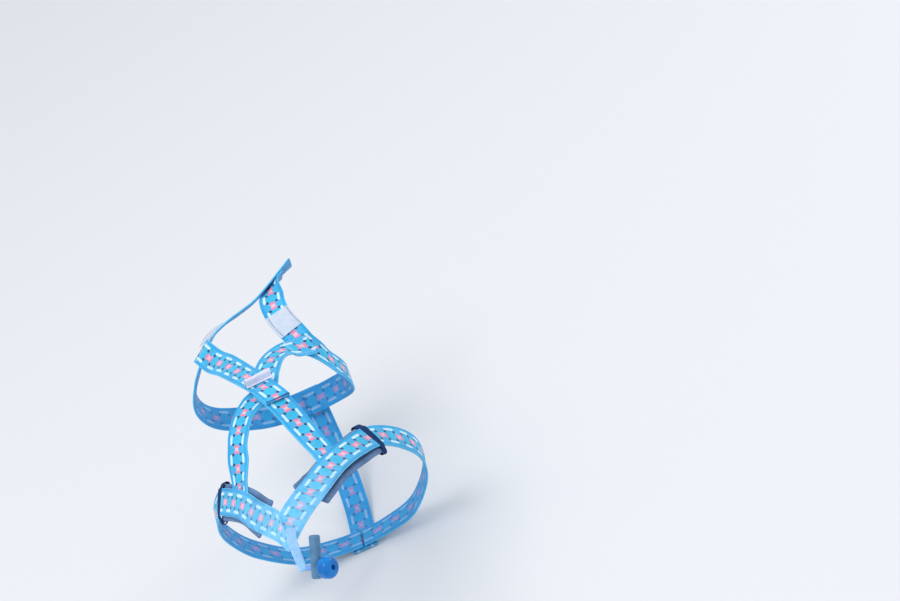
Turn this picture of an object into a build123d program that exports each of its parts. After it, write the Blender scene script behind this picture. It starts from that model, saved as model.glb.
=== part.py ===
from build123d import *
import os
from math import cos, radians, sin

# Pulling harness with two back straps that cross in an X, in the shape it has when it is worn.
# Millimetres. +Y is the way the wearer heads, +X its right, +Z up.
# The origin lies on the wearer's back, under the place where the two back straps cross.

# Webbing and padding
webbing_width = 25.0
webbing_thickness = 2.0
sewn_gap = 0.3
layer = webbing_thickness + sewn_gap
pad_width = 37.0
pad_thickness = 4.0
pad_layer = pad_thickness + sewn_gap
pad_start = 2.5
binding_width = 39.0
binding_thickness = 1.6
binding_rows = (5.75, 6.0)
patch_width = 23.0
patch_thickness = 0.8
patch_rows_right = (4.3, 5.85)
patch_rows_left = (4.2, 5.2)

# The seam at the tail, where the right hip strap laps over the left one
tail_lift = 2.4
seam_lap = 1.8
seam_place = (-0.9, -183, -10)
seam_along = (-0.178, 0.984, 0)
seam_right = (0.984, 0.178, 0)
cut_away = (70.0, 60.0, 40.0)

# Label tab sewn across the upper back strap, in front of the crossing
tab_width = 26.0
tab_height = 7.0
tab_thickness = 2.0
tab_offset = 1.5
tab_row = 4.72

# Tail cord and toggle
tail_strip_width = 8.5
tail_strip_thickness = 4.0
thin_cord_diameter = 4.0
cord_length = 34.5
peg_diameter = 9.4
peg_length = 36.0
peg_rounding = 1.2
peg_hole_from_end = 9.0
peg_hole_clearance = 0.3
peg_along_cord = 14.3
bead_diameter = 19.0
bead_length = 13.2
bead_rounding = 5.0
bead_hole_clearance = 0.15
bead_along_cord = 26.3

# How finely a strap follows its route
stations_per_row = 3

# Routes of the straps. Each row is one station on the underside of the webbing:
# x, y, z        the place, in millimetres
# side           which way the face looks, in degrees from straight up to the wearer's right
# lean           how far it looks forwards, in degrees
# lift           how far layers underneath hold it up
collar_right_route = [
    (33.5, 190, -11.2, -34, 30, 0.0),
    (26, 183.5, -13, -26, 22, 0.0),
    (20, 173, -12, -12, 6, 0.0),
    (18, 157, -11, 6, -16, 0.0),
    (19, 142, -14, 2, -22, 0.0),
    (23, 126, -19, -2, -23, 0.0),
    (29, 112, -27, 10, -20, 0.0),
    (34, 102, -34, 18, -18, 0.0),
    (43, 97, -46, 44, -13, 0.0),
    (49, 98, -64, 74, -6, 0.0),
    (53, 111, -90, 92, 2, 0.0),
    (46, 138, -118, 112, 18, 0.0),
    (24, 163, -138, 142, 46, 0.0),
    (-8, 172, -146, 180, 60, 0.0),
]
collar_left_route = [
    (46, 197, -8, -42, 34, layer),
    (21, 183, -14, -30, 29, layer + 1.1),
    (-1, 172, -15, -18, 30, 0.5),
    (-17, 165, -15, -15, 31, 0.0),
    (-32, 157, -14, -14, 31, 0.0),
    (-47, 148, -16, -25, 27, 0.0),
    (-59, 137, -23, -40, 22, 0.0),
    (-78, 132, -42, -55, 14, 0.0),
    (-93, 136, -70, -84, 8, 0.0),
    (-88, 152, -104, -108, 14, 0.0),
    (-58, 168, -133, -142, 38, 0.0),
    (-26, 173, -144, -165, 55, 0.5),
    (8, 174, -146, -180, 60, layer),
]
strap_under_route = [
    (41, 97.5, -38.5, 22, -18, layer + 1.6),
    (37, 95.5, -38, 20, -18, layer + 1.6),
    (27.5, 89, -31, 16, -14, layer),
    (17, 80, -21, 12, -4, 0.6),
    (9, 62, -12, 10, 2, 0.0),
    (4, 34, -5, 13, 4, 0.0),
    (0, 0, 0, 15, 5, 0.0),
    (-10, -12, 2, 10, 4, 0.0),
    (-22, -25, 0, -4, 2, 0.0),
    (-32, -41, -8, -18, 0, 0.0),
    (-38, -53, -20, -26, 0, 0.3),
    (-42, -70, -37.7, -41, 0, pad_layer + 0.3),
    (-43, -90, -43.3, -44, 0, pad_layer + 0.3),
]
strap_over_front_route = [
    (-61, 143, -27, -38, 24, layer + 2.0),
    (-57, 127, -17, -35, 17, layer + 1.4),
    (-48, 104, -15, -24, 4, 0.6),
    (-34, 77, -8, -12, 3, 0.0),
    (-16, 36, -1, 4, 4, 2.2),
    (0, 0, 0, 15, 5, 2 * layer + 0.5),
    (8, -16, -1, 16, 4, 2 * layer + 0.8),
    (12, -25, -3, 18, 3, 2 * layer + 1.0),
]
strap_over_rear_route = [
    (2, -4, 0, 15, 5, layer + 0.3),
    (8, -16, -1, 16, 4, layer + 0.6),
    (16, -32, -6, 20, 2, 1.2),
    (23, -49, -14, 24, 0, 0.3),
    (30, -67, -23, 30, 0, 0.3),
    (34, -82, -34.5, 36, 0, pad_layer),
    (38, -98, -39.7, 37, 0, pad_layer + 0.2),
]
hip_right_route = [
    (-6, -207, -8.5, 24, -4, 0.0),
    (4, -181, -12.5, 28, -5, 0.0),
    (13, -158, -19, 32, -6, 2.0),
    (25.5, -127, -31, 29, -4, pad_layer + layer + 0.4),
    (38.5, -99, -39.5, 34, 0, pad_layer + layer + 0.9),
    (53.5, -71, -52, 42, 0, pad_layer + layer + 1.7),
    (71, -41, -68.5, 54, 0, pad_layer + 0.4),
    (88, -22, -94, 80, 0, 3.0),
    (97, -4, -126, 95, 0, 0.0),
    (88, 12, -164, 115, 0, 0.0),
    (60, 25, -202, 140, 0, 0.0),
    (26, 34, -218, 170, 0, 0.0),
    (1.2, 35, -221, 180, 0, 0.0),
]
hip_left_route = [
    (6, -207, -9.5, -40, -4, 0.0),
    (-5, -181, -14, -40, -5, 0.0),
    (-15.5, -158, -22, -36, -6, 2.0),
    (-28.5, -127, -33.5, -36, -4, pad_layer + layer + 0.4),
    (-40, -99, -40.5, -44, 0, pad_layer + layer + 0.4),
    (-54, -71, -51.5, -50, 0, pad_layer + layer + 1.5),
    (-74, -41, -66, -58, 0, pad_layer + 0.4),
    (-91, -22, -94, -80, 0, 3.0),
    (-97, -4, -126, -95, 0, 0.0),
    (-88, 12, -164, -115, 0, 0.0),
    (-60, 25, -202, -140, 0, 0.0),
    (-26, 34, -218, -170, 0, 0.0),
    (-1.2, 35, -221, -180, 0, 0.0),
]
breast_route = [
    (-3, 178, -135, 180, 60, 2 * layer + 2),
    (-3, 165, -158, 180, 58, 2 * layer + 2),
    (-2, 148, -184, 180, 48, 0.0),
    (-1, 122, -208, 180, 26, 0.0),
    (0, 86, -221, 180, 8, 0.0),
    (0, 55, -223, 180, 0, layer),
    (0, 22, -222, 180, 0, layer),
]
tail_strip_route = [
    (4, -199, -7.6, 25, -3, 0.0),
    (4, -211, -7.6, 18, -8, 0.0),
    (4.5, -222, -12.8, 6, -38, 0.0),
    (5, -234, -24, 0, -35, 0.0),
]

# The thin cord goes on from the tail strip, through the peg, to the bead
cord_start = Vector(5.5, -233, -21.6)
cord_way = Vector(0.81, -0.585, 0.09).normalized()
peg_up_hint = Vector(0.39, 0.53, 0.75)


def face_of(side, lean):
    """The way a strap's face looks, from its two angles."""
    return Vector(
        sin(radians(side)) * cos(radians(lean)),
        sin(radians(lean)),
        cos(radians(side)) * cos(radians(lean)),
    )


def under_the_strap(route):
    """The route of the liner below a hip strap: its first seven rows, with nothing underneath."""
    return [row[:5] + (0.0,) for row in route[:7]]


def between(before, start, end, after, share):
    """A value part of the way from start to end, on a smooth curve through all four."""
    slope_in = (end - before) / 2
    slope_out = (after - start) / 2
    square, cube = share**2, share**3
    return (
        (2 * cube - 3 * square + 1) * start
        + (cube - 2 * square + share) * slope_in
        + (3 * square - 2 * cube) * end
        + (cube - square) * slope_out
    )


def row_at(route, position):
    """The route's six values at a position counted in rows, such as 2.5 for halfway past row 2."""
    span = min(int(position), len(route) - 2)
    last = len(route) - 1
    rows = [route[max(span - 1, 0)], route[span], route[span + 1], route[min(span + 2, last)]]
    return [between(*values, position - span) for values in zip(*rows)]


def station_plane(route, position, above=0.0):
    """A plane across the strap: local X is its width, local Y points down through it, local Z runs along."""
    nudge = 0.02
    last = len(route) - 1
    before = Vector(*row_at(route, max(position - nudge, 0))[:3])
    after = Vector(*row_at(route, min(position + nudge, last))[:3])
    along = (after - before).normalized()
    x, y, z, side, lean, lift = row_at(route, position)
    face = face_of(side, lean)
    face = (face - along * face.dot(along)).normalized()
    middle = Vector(x, y, z) + face * (lift + above)
    return Plane(origin=middle, x_dir=along.cross(face), z_dir=along)


def strap(route, width, thickness, above=0.0, start=0.0, end=None):
    """A flat strap lofted along a route, from one position on it to another."""
    end = len(route) - 1 if end is None else end
    spans = max(2, round((end - start) * stations_per_row))
    with BuildPart() as body:
        for step in range(spans + 1):
            position = start + (end - start) * step / spans
            with BuildSketch(station_plane(route, position, above + thickness / 2)):
                Rectangle(width, thickness)
        loft(ruled=True)
    return body


def keep(body, name):
    body.part.label = name
    export_step(body.part, f"parts/{name}.step")
    box = body.part.bounding_box()
    print(f"{name}: {body.part.volume:.0f} mm3, {box.size.X:.0f} x {box.size.Y:.0f} x {box.size.Z:.0f}")


os.makedirs("parts", exist_ok=True)

# Webbing straps
webbing_straps = {
    "collar_right": collar_right_route,
    "collar_left": collar_left_route,
    "back_strap_under": strap_under_route,
    "back_strap_over_front": strap_over_front_route,
    "back_strap_over_rear": strap_over_rear_route,
    "breast_strap": breast_route,
}
for name, route in webbing_straps.items():
    keep(strap(route, webbing_width, webbing_thickness), name)

# At the tail both hip straps are cut along one seam, and the right one laps a little over the left one
over_at_tail_route = [
    row[:5] + (row[5] + (tail_lift if index < 3 else 0.0),) for index, row in enumerate(hip_right_route)
]
seam = Plane(origin=seam_place, x_dir=seam_along, z_dir=seam_right)
hip_strap_right = strap(over_at_tail_route, webbing_width, webbing_thickness)
with hip_strap_right:
    with Locations(seam.offset(-seam_lap)):
        Box(*cut_away, align=(Align.CENTER, Align.CENTER, Align.MAX), mode=Mode.SUBTRACT)
keep(hip_strap_right, "hip_strap_right")
hip_strap_left = strap(hip_left_route, webbing_width, webbing_thickness)
with hip_strap_left:
    with Locations(seam.offset(-sewn_gap)):
        Box(*cut_away, align=(Align.CENTER, Align.CENTER, Align.MIN), mode=Mode.SUBTRACT)
keep(hip_strap_left, "hip_strap_left")

# Padded liners under the hip straps
for name, route in {"hip_pad_right": hip_right_route, "hip_pad_left": hip_left_route}.items():
    keep(strap(under_the_strap(route), pad_width, pad_thickness, start=pad_start), name)

# Dark bindings over the outer ends of the liners
for name, route in {"pad_binding_right": hip_right_route, "pad_binding_left": hip_left_route}.items():
    keep(strap(route, binding_width, binding_thickness, layer, *binding_rows), name)

# Reflective patches on the collar
patches = {
    "reflective_patch_right": (collar_right_route, patch_rows_right),
    "reflective_patch_left": (collar_left_route, patch_rows_left),
}
for name, (route, rows) in patches.items():
    keep(strap(route, patch_width, patch_thickness, layer, *rows), name)

# Label tab, folded and standing across the upper back strap in front of the crossing
tab_plane = station_plane(strap_over_front_route, tab_row, layer)
with BuildPart() as label_tab:
    with BuildSketch(tab_plane):
        with Locations((tab_offset, -tab_height / 2)):
            Rectangle(tab_width, tab_height)
    extrude(amount=tab_thickness)
keep(label_tab, "label_tab")

# Tail strip
tail_strip = strap(tail_strip_route, tail_strip_width, tail_strip_thickness)
keep(tail_strip, "tail_strip")

# Thin cord out of the end of the tail strip
cord_outlet = station_plane(tail_strip_route, len(tail_strip_route) - 1)
with BuildPart() as toggle_cord:
    with BuildSketch(Plane(origin=cord_start, z_dir=cord_way)):
        Circle(thin_cord_diameter / 2)
    extrude(amount=cord_length)
    split(bisect_by=cord_outlet)
keep(toggle_cord, "toggle_cord")

# Round bead at the end of the cord
bead_middle = cord_start + cord_way * bead_along_cord
with BuildPart() as toggle_bead:
    with BuildSketch(Plane(origin=bead_middle - cord_way * bead_length / 2, z_dir=cord_way)):
        Circle(bead_diameter / 2)
    extrude(amount=bead_length)
    fillet(toggle_bead.edges().filter_by(GeomType.CIRCLE), bead_rounding)
    with BuildSketch(Plane(origin=bead_middle, z_dir=cord_way)):
        Circle(thin_cord_diameter / 2 + bead_hole_clearance)
    extrude(amount=bead_length, both=True, mode=Mode.SUBTRACT)
keep(toggle_bead, "toggle_bead")

# Peg that turns on the cord between the tail strip and the bead
peg_middle_on_cord = cord_start + cord_way * peg_along_cord
peg_up = (peg_up_hint - cord_way * peg_up_hint.dot(cord_way)).normalized()
with BuildPart() as toggle_peg:
    peg_plane = Plane(origin=peg_middle_on_cord, x_dir=cord_way, z_dir=peg_up)
    with BuildSketch(peg_plane.offset(-peg_hole_from_end)):
        Circle(peg_diameter / 2)
    extrude(amount=peg_length)
    fillet(toggle_peg.edges().filter_by(GeomType.CIRCLE), peg_rounding)
    with BuildSketch(Plane(origin=peg_middle_on_cord, z_dir=cord_way)):
        Circle(thin_cord_diameter / 2 + peg_hole_clearance)
    extrude(amount=peg_diameter, both=True, mode=Mode.SUBTRACT)
keep(toggle_peg, "toggle_peg")
print("peg joint at", peg_middle_on_cord, "axis", cord_way, "peg up", peg_up)
print("peg top", peg_middle_on_cord + peg_up * (peg_length - peg_hole_from_end))
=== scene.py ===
# %% [markdown]
# # A pulling harness with crossed back straps, as it is worn
#
# The harness is sewn from one kind of flat patterned webbing. Every strap is first made flat, as it comes
# off the roll, and is then laid along its route. The routes are the ones that the solids follow, so each
# strap lies where its solid is. Only the lower end of the under strap is turned a little more.

# %% Load the model
from math import cos, pi, radians, sin

import bpy
import numpy as np
from mathutils import Matrix, Vector


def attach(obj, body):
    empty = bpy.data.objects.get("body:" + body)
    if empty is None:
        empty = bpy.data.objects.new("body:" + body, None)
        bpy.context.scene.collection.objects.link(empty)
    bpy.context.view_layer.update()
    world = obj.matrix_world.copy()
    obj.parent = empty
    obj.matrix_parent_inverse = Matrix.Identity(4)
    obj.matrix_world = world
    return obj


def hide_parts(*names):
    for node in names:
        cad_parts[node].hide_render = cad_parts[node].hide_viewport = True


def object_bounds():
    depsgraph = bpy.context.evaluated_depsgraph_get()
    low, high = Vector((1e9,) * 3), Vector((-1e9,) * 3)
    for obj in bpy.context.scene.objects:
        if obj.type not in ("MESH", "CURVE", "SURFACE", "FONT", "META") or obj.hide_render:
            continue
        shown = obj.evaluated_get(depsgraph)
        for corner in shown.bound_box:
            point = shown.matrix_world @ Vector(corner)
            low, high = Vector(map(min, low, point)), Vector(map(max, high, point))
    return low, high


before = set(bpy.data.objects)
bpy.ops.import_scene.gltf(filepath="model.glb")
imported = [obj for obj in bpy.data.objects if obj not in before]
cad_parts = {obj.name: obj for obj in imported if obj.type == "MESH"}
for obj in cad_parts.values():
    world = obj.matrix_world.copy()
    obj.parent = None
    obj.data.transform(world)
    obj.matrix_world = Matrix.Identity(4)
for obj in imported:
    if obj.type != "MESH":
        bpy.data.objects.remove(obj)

MM = 0.001
solids_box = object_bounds()
print("solids:", [tuple(round(v, 4) for v in corner) for corner in solids_box])

# %% [markdown]
# ## The camera
#
# The photograph looks down at the harness from behind, a little from its right, with the camera rolled. The
# lens is a long one. The place where the back straps cross is a good mark to aim with: the camera is moved
# sideways until that point falls where it does in the picture.

# %% Where the camera stands
picture_width, picture_height = 900, 601
sensor_width, focal_pixels = 36.0, 2448.0
crossing_pixel = (260.5, 388.0)
crossing_top = Vector((0, 0, 5.6)) * MM
azimuth, elevation, roll = radians(7.3), radians(32.8), radians(-28.5)
distance = 2.197

turn = Matrix.Rotation(azimuth, 4, "Z") @ Matrix.Rotation(pi / 2 - elevation, 4, "X")
turn = turn @ Matrix.Rotation(roll, 4, "Z")
aside = (picture_width / 2 - crossing_pixel[0]) / focal_pixels * distance
above = (crossing_pixel[1] - picture_height / 2) / focal_pixels * distance
place = crossing_top + turn.to_3x3() @ Vector((aside, above, distance))
print("the camera stands at", [round(v, 3) for v in place])

# %% Camera
def added(name, add, **settings):
    """Adds something with nothing else selected, and names it."""
    bpy.ops.object.select_all(action="DESELECT")
    add(**settings)
    made = bpy.context.object
    made.name = made.data.name = name
    return made


camera = added("photo_camera", bpy.ops.object.camera_add)
camera.data.sensor_width = sensor_width
camera.data.lens = focal_pixels * sensor_width / picture_width
camera.data.clip_start, camera.data.clip_end = 0.1, 60.0
camera.matrix_world = Matrix.Translation(place) @ turn
bpy.context.scene.camera = camera
print("its lens is", round(camera.data.lens, 1), "mm long")

# %% [markdown]
# ## Sizes and routes
#
# A route is a short table of stations on the underside of a strap. Each row has a place, the way the
# strap's face looks there, and how far the layers below lift it: x, y and z in millimetres, the side and
# the lean of the face in degrees, and the lift in millimetres. The strap runs through the rows on a smooth
# curve.

# %% Sizes
webbing_width, webbing_thickness, sewn_gap = 25.0, 2.0, 0.3
layer = webbing_thickness + sewn_gap
pad_width, pad_thickness, pad_start, pad_end = 37.0, 4.0, 2.5, 6.0
pad_layer = pad_thickness + sewn_gap
tail_lift, seam_lap = 2.4, 1.8
print("a layer lifts the next one by", layer, "mm, and the padding lifts it by", pad_layer, "mm")

# %% Routes of the collar
routes = {}
routes["collar_right"] = [
    (33.5, 190, -11.2, -34, 30, 0),
    (26, 183.5, -13, -26, 22, 0),
    (20, 173, -12, -12, 6, 0),
    (18, 157, -11, 6, -16, 0),
    (19, 142, -14, 2, -22, 0),
    (23, 126, -19, -2, -23, 0),
    (29, 112, -27, 10, -20, 0),
    (34, 102, -34, 18, -18, 0),
    (43, 97, -46, 44, -13, 0),
    (49, 98, -64, 74, -6, 0),
    (53, 111, -90, 92, 2, 0),
    (46, 138, -118, 112, 18, 0),
    (24, 163, -138, 142, 46, 0),
    (-8, 172, -146, 180, 60, 0),
]
routes["collar_left"] = [
    (46, 197, -8, -42, 34, layer),
    (21, 183, -14, -30, 29, layer + 1.1),
    (-1, 172, -15, -18, 30, 0.5),
    (-17, 165, -15, -15, 31, 0),
    (-32, 157, -14, -14, 31, 0),
    (-47, 148, -16, -25, 27, 0),
    (-59, 137, -23, -40, 22, 0),
    (-78, 132, -42, -55, 14, 0),
    (-93, 136, -70, -84, 8, 0),
    (-88, 152, -104, -108, 14, 0),
    (-58, 168, -133, -142, 38, 0),
    (-26, 173, -144, -165, 55, 0.5),
    (8, 174, -146, -180, 60, layer),
]
print("the collar:", {name: len(route) for name, route in routes.items()}, "rows")

# %% Routes of the back straps
routes["back_strap_under"] = [
    (41, 97.5, -38.5, 22, -18, layer + 1.6),
    (37, 95.5, -38, 20, -18, layer + 1.6),
    (27.5, 89, -31, 16, -14, layer),
    (17, 80, -21, 12, -4, 0.6),
    (9, 62, -12, 10, 2, 0),
    (4, 34, -5, 13, 4, 0),
    (0, 0, 0, 15, 5, 0),
    (-10, -12, 2, 10, 4, 0),
    (-22, -25, 0, -4, 2, 0),
    (-32, -41, -8, -10, 0, 0),
    (-38.7, -53, -20.4, -12, 0, 0.1),
    (-42.6, -70, -38.2, -36, 0, pad_layer),
    (-43, -90, -43.3, -44, 0, pad_layer + 0.3),
]
routes["back_strap_over_front"] = [
    (-61, 143, -27, -38, 24, layer + 2.0),
    (-57, 127, -17, -35, 17, layer + 1.4),
    (-48, 104, -15, -24, 4, 0.6),
    (-34, 77, -8, -12, 3, 0),
    (-16, 36, -1, 4, 4, 2.2),
    (0, 0, 0, 15, 5, 2 * layer + 0.5),
    (8, -16, -1, 16, 4, 2 * layer + 0.8),
    (12, -25, -3, 18, 3, 2 * layer + 1.0),
]
routes["back_strap_over_rear"] = [
    (2, -4, 0, 15, 5, layer + 0.3),
    (8, -16, -1, 16, 4, layer + 0.6),
    (16, -32, -6, 20, 2, 1.2),
    (23, -49, -14, 24, 0, 0.3),
    (30, -67, -23, 30, 0, 0.3),
    (34, -82, -34.5, 36, 0, pad_layer),
    (38, -98, -39.7, 37, 0, pad_layer + 0.2),
]
print("and the back straps:", len(routes), "routes so far")

# %% Routes of the hip straps
lower_rows = [
    (97, -4, -126, 95, 0, 0),
    (88, 12, -164, 115, 0, 0),
    (60, 25, -202, 140, 0, 0),
    (26, 34, -218, 170, 0, 0),
    (1.2, 35, -221, 180, 0, 0),
]
routes["hip_strap_right"] = [
    (-6, -207, -8.5, 24, -4, tail_lift),
    (4, -181, -12.5, 28, -5, tail_lift),
    (13, -158, -19, 32, -6, 2.0 + tail_lift),
    (25.5, -127, -31, 29, -4, pad_layer + layer + 0.4),
    (38.5, -99, -39.5, 34, 0, pad_layer + layer + 0.9),
    (53.5, -71, -52, 42, 0, pad_layer + layer + 1.7),
    (71, -41, -68.5, 54, 0, pad_layer + 0.4),
    (88, -22, -94, 80, 0, 3.0),
] + lower_rows
routes["hip_strap_left"] = [
    (6, -207, -9.5, -40, -4, 0),
    (-5, -181, -14, -40, -5, 0),
    (-15.5, -158, -22, -36, -6, 2.0),
    (-28.5, -127, -33.5, -36, -4, pad_layer + layer + 0.4),
    (-40, -99, -40.5, -44, 0, pad_layer + layer + 0.4),
    (-54, -71, -51.5, -50, 0, pad_layer + layer + 1.5),
    (-74, -41, -66, -58, 0, pad_layer + 0.4),
    (-91, -22, -94, -80, 0, 3.0),
] + [(-x, y, z, -side, lean, lift) for x, y, z, side, lean, lift in lower_rows]
print("the hip straps share their last", len(lower_rows), "rows, mirrored")

# %% Routes underneath and at the tail
routes["breast_strap"] = [
    (-3, 178, -135, 180, 60, 2 * layer + 2),
    (-3, 165, -158, 180, 58, 2 * layer + 2),
    (-2, 148, -184, 180, 48, 0),
    (-1, 122, -208, 180, 26, 0),
    (0, 86, -221, 180, 8, 0),
    (0, 55, -223, 180, 0, layer),
    (0, 22, -222, 180, 0, layer),
]
routes["tail_strip"] = [
    (4, -199, -7.6, 25, -3, 0),
    (4, -211, -7.6, 18, -8, 0),
    (4.5, -222, -12.8, 6, -38, 0),
    (5, -234, -24, 0, -35, 0),
]
print("routes:", ", ".join(routes))

# %% [markdown]
# ## Laying a flat piece along a route
#
# A real strap is cut to length and then sewn down along a line. These helpers do the same: they walk along
# the route, note at every step where the strap's middle is, which way is across and which way is up, and
# move each point of a flat piece to its place there. Stitches, tapes and padding are laid the same way. A
# curve modifier could bend a strap too, but it doesn't know how the strap leans and twists.

# %% A smooth curve through a route's rows
def between(before, start, end, after, share):
    """A value part of the way from start to end, on a smooth curve through all four."""
    slope_in, slope_out = (end - before) / 2, (after - start) / 2
    square, cube = share**2, share**3
    return (
        (2 * cube - 3 * square + 1) * start
        + (cube - 2 * square + share) * slope_in
        + (3 * square - 2 * cube) * end
        + (cube - square) * slope_out
    )


def rows_at(route, positions):
    """The route's six values at each position, counted in rows."""
    table = np.array(route, float)
    last = len(table) - 1
    span = np.minimum(positions.astype(int), last - 1)
    share = (positions - span)[:, None]
    corners = [table[np.clip(span + step, 0, last)] for step in (-1, 0, 1, 2)]
    return between(*corners, share)


print("half a row down the collar:", rows_at(routes["collar_right"], np.array([0.5])).round(1))

# %% Walking a route
steps_per_row, look_ahead = 60, 0.02


def unit(vectors):
    return vectors / np.linalg.norm(vectors, axis=1, keepdims=True)


def distances(points):
    """How far along a line each of its points is."""
    return np.concatenate([[0], np.cumsum(np.linalg.norm(np.diff(points, axis=0), axis=1))])


def read_off(distance, at, values):
    """A line's values are known at some distances, and are read off here at others."""
    return np.stack([np.interp(distance, at, column) for column in values.T], 1)


class Run:
    """A route walked in small steps: its distances, its middle line, and its ways across and up."""

    def __init__(self, route):
        last = len(route) - 1
        self.positions = np.linspace(0, last, last * steps_per_row + 1)
        values = rows_at(route, self.positions)
        ahead = rows_at(route, np.minimum(self.positions + look_ahead, last))
        behind = rows_at(route, np.maximum(self.positions - look_ahead, 0))
        self.along = unit(ahead[:, :3] - behind[:, :3])
        side, lean = np.radians(values[:, 3]), np.radians(values[:, 4])
        face = np.stack([np.sin(side) * np.cos(lean), np.sin(lean), np.cos(side) * np.cos(lean)], 1)
        self.up = unit(face - self.along * (face * self.along).sum(1, keepdims=True))
        self.across = np.cross(self.along, self.up)
        self.middle = values[:, :3] + self.up * values[:, 5:]
        self.distance = distances(self.middle)
        self.length = float(self.distance[-1])

    def distance_at(self, position):
        return float(np.interp(position, self.positions, self.distance))

    def laid(self, flat):
        """Where flat points go: x across, y along and z up, all in millimetres."""
        def here(values):
            return read_off(flat[:, 1], self.distance, values)
        beyond = flat[:, 1] - np.clip(flat[:, 1], 0, self.length)
        return (
            here(self.middle)
            + unit(here(self.across)) * flat[:, :1]
            + unit(here(self.up)) * flat[:, 2:]
            + here(self.along) * beyond[:, None]
        )


runs = {name: Run(route) for name, route in routes.items()}
print("strap lengths in mm:", {name: round(run.length) for name, run in runs.items()})

# %% Reading and moving a piece's points
def points_of(piece):
    flat = np.zeros(len(piece.data.vertices) * 3)
    piece.data.vertices.foreach_get("co", flat)
    return flat.reshape(-1, 3) / MM


def move_points(piece, points):
    piece.data.vertices.foreach_set("co", (points * MM).astype(np.float32).ravel())
    piece.data.update()


def remember(piece, name, values):
    """Keeps a number or a vector for each point, for the piece's material to read."""
    kind, field = ("FLOAT_VECTOR", "vector") if values.ndim == 2 else ("FLOAT", "value")
    kept = piece.data.attributes.get(name) or piece.data.attributes.new(name, kind, "POINT")
    kept.data.foreach_set(field, values.astype(np.float32).ravel())


def lay(piece, run, lift=None):
    """Remembers where each point is on the flat cloth, then lays the piece along the run."""
    flat = points_of(piece)
    remember(piece, "cloth", flat)
    if lift is not None:
        flat[:, 2] += lift(flat)
    move_points(piece, run.laid(flat))


# %% Selecting and editing
def only(*pieces):
    """Selects these pieces and nothing else. The first one is the active one."""
    bpy.ops.object.select_all(action="DESELECT")
    for piece in pieces:
        piece.select_set(True)
    bpy.context.view_layer.objects.active = pieces[0]


def edit(piece, chosen=None):
    """Opens a piece in edit mode with the chosen points selected, or all of them."""
    only(piece)
    bpy.ops.object.mode_set(mode="EDIT")
    bpy.ops.mesh.select_mode(type="VERT")
    bpy.ops.mesh.select_all(action="SELECT" if chosen is None else "DESELECT")
    if chosen is not None:
        bpy.ops.object.mode_set(mode="OBJECT")
        piece.data.vertices.foreach_set("select", chosen)
        bpy.ops.object.mode_set(mode="EDIT")


def done():
    bpy.ops.object.mode_set(mode="OBJECT")


# %% Modifiers, and a flat strip
def apply(piece, kind, **settings):
    """Adds a modifier with these settings and applies it."""
    only(piece)
    modifier = piece.modifiers.new(kind.lower(), kind)
    for name, value in settings.items():
        setattr(modifier, name, value)
    bpy.ops.object.modifier_apply(modifier=modifier.name)


def flat_strip(name, width, length, thickness, cell, edge, start=0.0, segments=2):
    """A flat strip in millimetres: x across, y along from its start, z up from its underside."""
    piece = added(
        name, bpy.ops.mesh.primitive_grid_add, size=1,
        x_subdivisions=max(2, round(width / cell)), y_subdivisions=max(2, round(length / cell)),
    )
    edit(piece)
    bpy.ops.transform.resize(value=(width * MM, length * MM, 1))
    bpy.ops.transform.translate(value=(0, (start + length / 2) * MM, thickness * MM))
    done()
    apply(piece, "SOLIDIFY", thickness=thickness * MM, offset=-1)
    apply(piece, "BEVEL", width=edge * MM, segments=segments, limit_method="ANGLE", angle_limit=radians(60))
    return piece


# %% Keeping a finished piece
def keep(piece, slot, material, *nodes, body="harness"):
    """Gives a finished piece its finish and its body, and hides the solids that it stands for."""
    piece.data.materials.clear()
    piece.data.materials.append(material)
    only(piece)
    bpy.ops.object.shade_smooth_by_angle(angle=radians(40))
    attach(piece, body)
    if nodes:
        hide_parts(*nodes)
    print(piece.name, "has", len(piece.data.vertices), "points")


# %% [markdown]
# ## Node helpers
#
# A material is a small network. Written out node by node it gets long, so a few helpers add a node, link
# what goes into it and hand back what comes out. Shades are written as a picture editor shows them, from 0
# to 255, and are turned into the linear light that the shader works in.

# %% Shades and single nodes
def shade(red, green, blue):
    """A shade given from 0 to 255, as linear light."""
    parts = [value / 255 for value in (red, green, blue)]
    return (*[p / 12.92 if p < 0.04045 else ((p + 0.055) / 1.055) ** 2.4 for p in parts], 1.0)


def put(tree, socket, value):
    if isinstance(value, bpy.types.NodeSocket):
        tree.links.new(value, socket)
    elif value is not None:
        socket.default_value = value


def node(tree, kind, *inputs, **settings):
    """Adds a node. Its inputs come in order: a socket to link, a plain value, or None to leave as it is."""
    made = tree.nodes.new("ShaderNode" + kind)
    for name, value in settings.items():
        setattr(made, name, value)
    for socket, value in zip(made.inputs, inputs):
        put(tree, socket, value)
    return made


def math(tree, operation, *inputs):
    return node(tree, "Math", *inputs, operation=operation).outputs[0]


def fade(tree, value, start, end, low=0.0, high=1.0):
    """Goes smoothly from low to high as the value goes from start to end."""
    return node(tree, "MapRange", value, start, end, low, high, interpolation_type="SMOOTHSTEP").outputs[0]


def mix(tree, share, first, second, blend="MIX"):
    made = node(tree, "Mix", share, data_type="RGBA", blend_type=blend)
    put(tree, made.inputs[6], first)
    put(tree, made.inputs[7], second)
    return made.outputs[2]


def split(tree, vector):
    return node(tree, "SeparateXYZ", vector).outputs


def noise(tree, place, scale, detail=2.0):
    return node(tree, "TexNoise", place, None, scale, detail).outputs[0]


def blended(tree, first, share, second):
    return math(tree, "MULTIPLY_ADD", first, share, math(tree, "MULTIPLY", second, 1 - share))


print("mid grey as linear light:", round(shade(128, 128, 128)[0], 3))

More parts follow.
